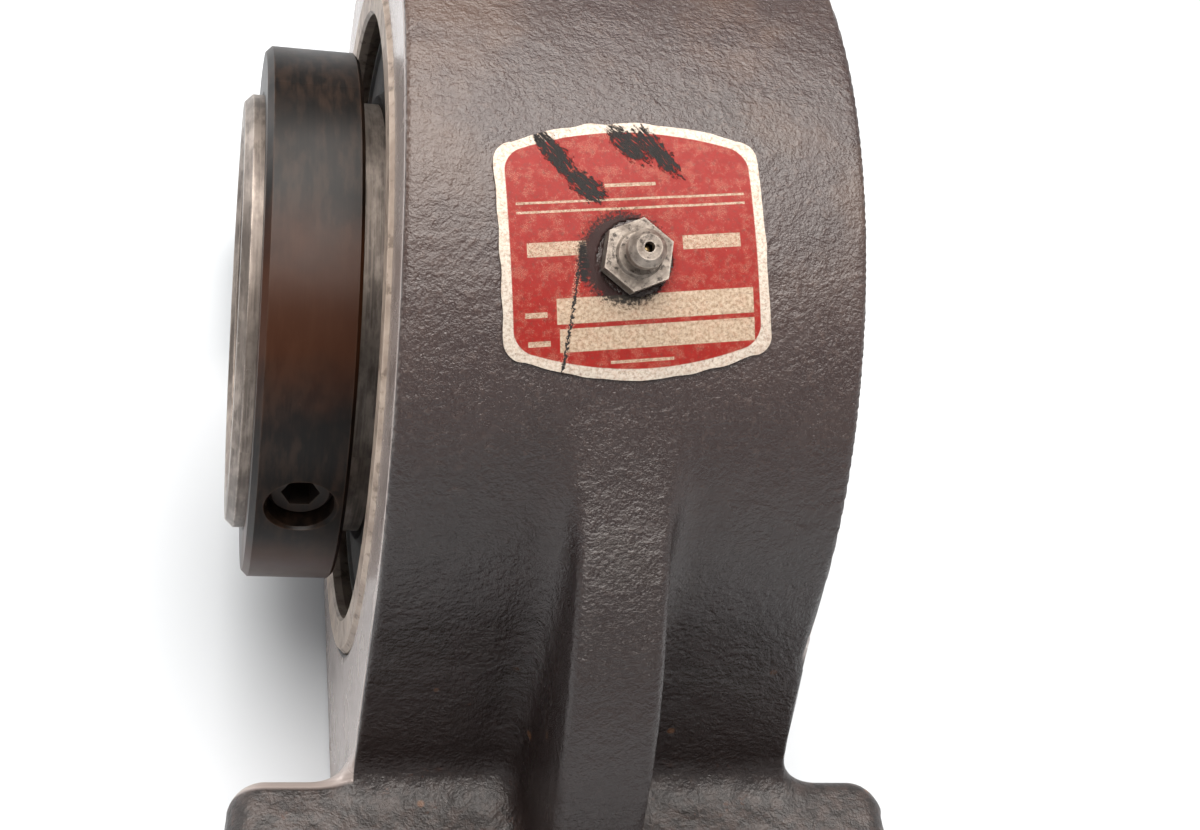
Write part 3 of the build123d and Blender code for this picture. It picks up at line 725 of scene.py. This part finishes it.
    grease = srgb(17, 13, 12)
    smears = [(-12.5, 16.5, 6.5, 1.9, -0.95, 1.0), (-7.6, 10.6, 4.0, 2.2, -0.7, 2.0),
              (0.5, 18.2, 4.6, 2.3, -0.75, 3.0), (5.4, 17.0, 6.0, 1.9, -0.95, 4.0),
              (-9.0, -2.5, 1.0, 3.6, 0.0, 5.0)]
    black = smear(*smears[0])
    for args in smears[1:]:
        black = m.math("MAXIMUM", black, smear(*args))
    u = m.math("SUBTRACT", s, -0.3)
    v = m.math("ADD", t, PLATE_UP)
    dist = m.math("SQRT", m.math("ADD", m.math("MULTIPLY", u, u), m.math("MULTIPLY", v, v)))
    lean = m.math("MULTIPLY", u, 0.18)
    dist = m.math("ADD", m.math("ADD", dist, lean), m.math("MULTIPLY", m.math("SUBTRACT", mid, 0.5), 6.0))
    black = m.math("MAXIMUM", black, m.math("MULTIPLY", m.step(dist, 8.5, 6.9), 0.93))
    crack = m.math("ADD", m.math("ADD", s, 9.3), m.math("MULTIPLY", t, -0.195))
    crack = m.math("ABSOLUTE", m.math("ADD", crack, m.math("MULTIPLY", m.math("SUBTRACT", mid, 0.5), 2.4)))
    below = m.step(t, 1.5, 0.0)
    torn = m.math("MULTIPLY", m.math("MULTIPLY", m.step(crack, 0.75, 0.55), m.step(fine, 0.5, 0.58)), below)
    colour = m.mix(m.math("MULTIPLY", torn, 0.8), colour, srgb(170, 140, 118))
    line = m.math("MULTIPLY", m.step(crack, 0.34, 0.16), below)
    black = m.math("MAXIMUM", black, line)
    colour = m.mix(black, colour, grease)
    metal = m.math("MULTIPLY", m.math("SUBTRACT", 1.0, field), 0.25)
    rough = m.math("ADD", 0.38, m.math("MULTIPLY", fine, 0.3))
    rough = m.math("SUBTRACT", rough, m.math("MULTIPLY", black, 0.12))
    m.bsdf.inputs["Specular IOR Level"].default_value = 0.3
    h = m.math("ADD", m.math("MULTIPLY", fine, 0.5), m.math("MULTIPLY", line, -0.6))
    h = m.math("ADD", h, m.math("MULTIPLY", m.math("MULTIPLY", black, speck), 1.6))
    return m.set(Base_Color=colour, Roughness=rough, Metallic=metal, Normal=m.bump(h, 0.6, 0.00015))


plate = link("nameplate_foil", make_plate())
set_material(plate, plate_material())
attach(plate, "housing_body")
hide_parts("nameplate")

# ------------------------------------------------------------------ floor, camera, lights
fm = Nodes("floor_paper")
fcol = fm.ramp(fm.noise(3.0, 3), [(0.3, srgb(200, 205, 210)), (0.7, srgb(206, 211, 216))])
fm.set(Base_Color=fcol, Roughness=0.85)
FLOOR_R = 0.75
SIDES = 96
turns = [math.tau * k / SIDES for k in range(SIDES)]
ring = [(FLOOR_R * math.cos(a), FLOOR_R * math.sin(a), -H * MM) for a in turns]
floor = link("floor", mesh_from("floor", ring, [list(range(SIDES))], smooth=False))
set_material(floor, fm.mat)

ELEVATION = math.radians(36.5)
YAW = 0.22054
PITCH = -0.04594
ROLL = 0.05691
CAM_X = -72.166
CAM_BACK = 381.616

fwd = Vector((math.sin(YAW) * math.cos(PITCH), math.cos(YAW) * math.cos(PITCH), math.sin(PITCH)))
right = Vector((math.cos(YAW), -math.sin(YAW), 0))
up = right.cross(fwd)
right2 = math.cos(ROLL) * right + math.sin(ROLL) * up
up2 = -math.sin(ROLL) * right + math.cos(ROLL) * up
rows = Matrix((right2, up2, -fwd)).transposed().to_4x4()
rows.translation = Vector((CAM_X, -CAM_BACK, 0)) * MM
tilt = Matrix.Rotation(-ELEVATION, 4, "X")
cam_data = bpy.data.cameras.new("camera")
cam_data.lens = 54.0
cam_data.sensor_width = 36.0
cam_data.clip_start = 0.01
camera = bpy.data.objects.new("camera", cam_data)
bpy.context.scene.collection.objects.link(camera)
camera.matrix_world = tilt @ rows
bpy.context.scene.camera = camera


def area_light(name, place, target, size, watts, colour=(1, 1, 1)):
    data = bpy.data.lights.new(name, "AREA")
    data.shape = "RECTANGLE"
    data.size, data.size_y = size
    data.energy = watts
    data.color = colour
    ob = bpy.data.objects.new(name, data)
    bpy.context.scene.collection.objects.link(ob)
    ob.location = place
    ob.rotation_euler = (Vector(target) - Vector(place)).to_track_quat("-Z", "Y").to_euler()
    return ob


area_light("overhead", (-0.05, -0.12, 1.25), (0.0, -0.05, 0), (1.4, 1.5), 50, (1.0, 0.955, 0.91))
area_light("backdrop", (-1.1, 0.9, 0.35), (-0.1, 0, 0), (0.5, 0.6), 4)
area_light("right", (1.3, -0.25, 0.55), (0, 0, 0), (0.5, 0.8), 2.2)

world = bpy.data.worlds.new("world")
bpy.context.scene.world = world
world.use_nodes = True
wt = world.node_tree
back = wt.nodes["Background"]
wc = wt.nodes.new("ShaderNodeTexCoord")
wz = wt.nodes.new("ShaderNodeSeparateXYZ")
wr = wt.nodes.new("ShaderNodeMapRange")
wt.links.new(wc.outputs["Generated"], wz.inputs[0])
wt.links.new(wz.outputs["Z"], wr.inputs["Value"])
wr.interpolation_type = "SMOOTHSTEP"
wr.inputs["From Min"].default_value = 0.06
wr.inputs["From Max"].default_value = 0.30
wr.inputs["To Min"].default_value = 1.0
wr.inputs["To Max"].default_value = 0.2
wt.links.new(wr.outputs["Result"], back.inputs["Strength"])
back.inputs["Color"].default_value = (1, 1, 1, 1)
bpy.context.scene.view_settings.view_transform = "Standard"
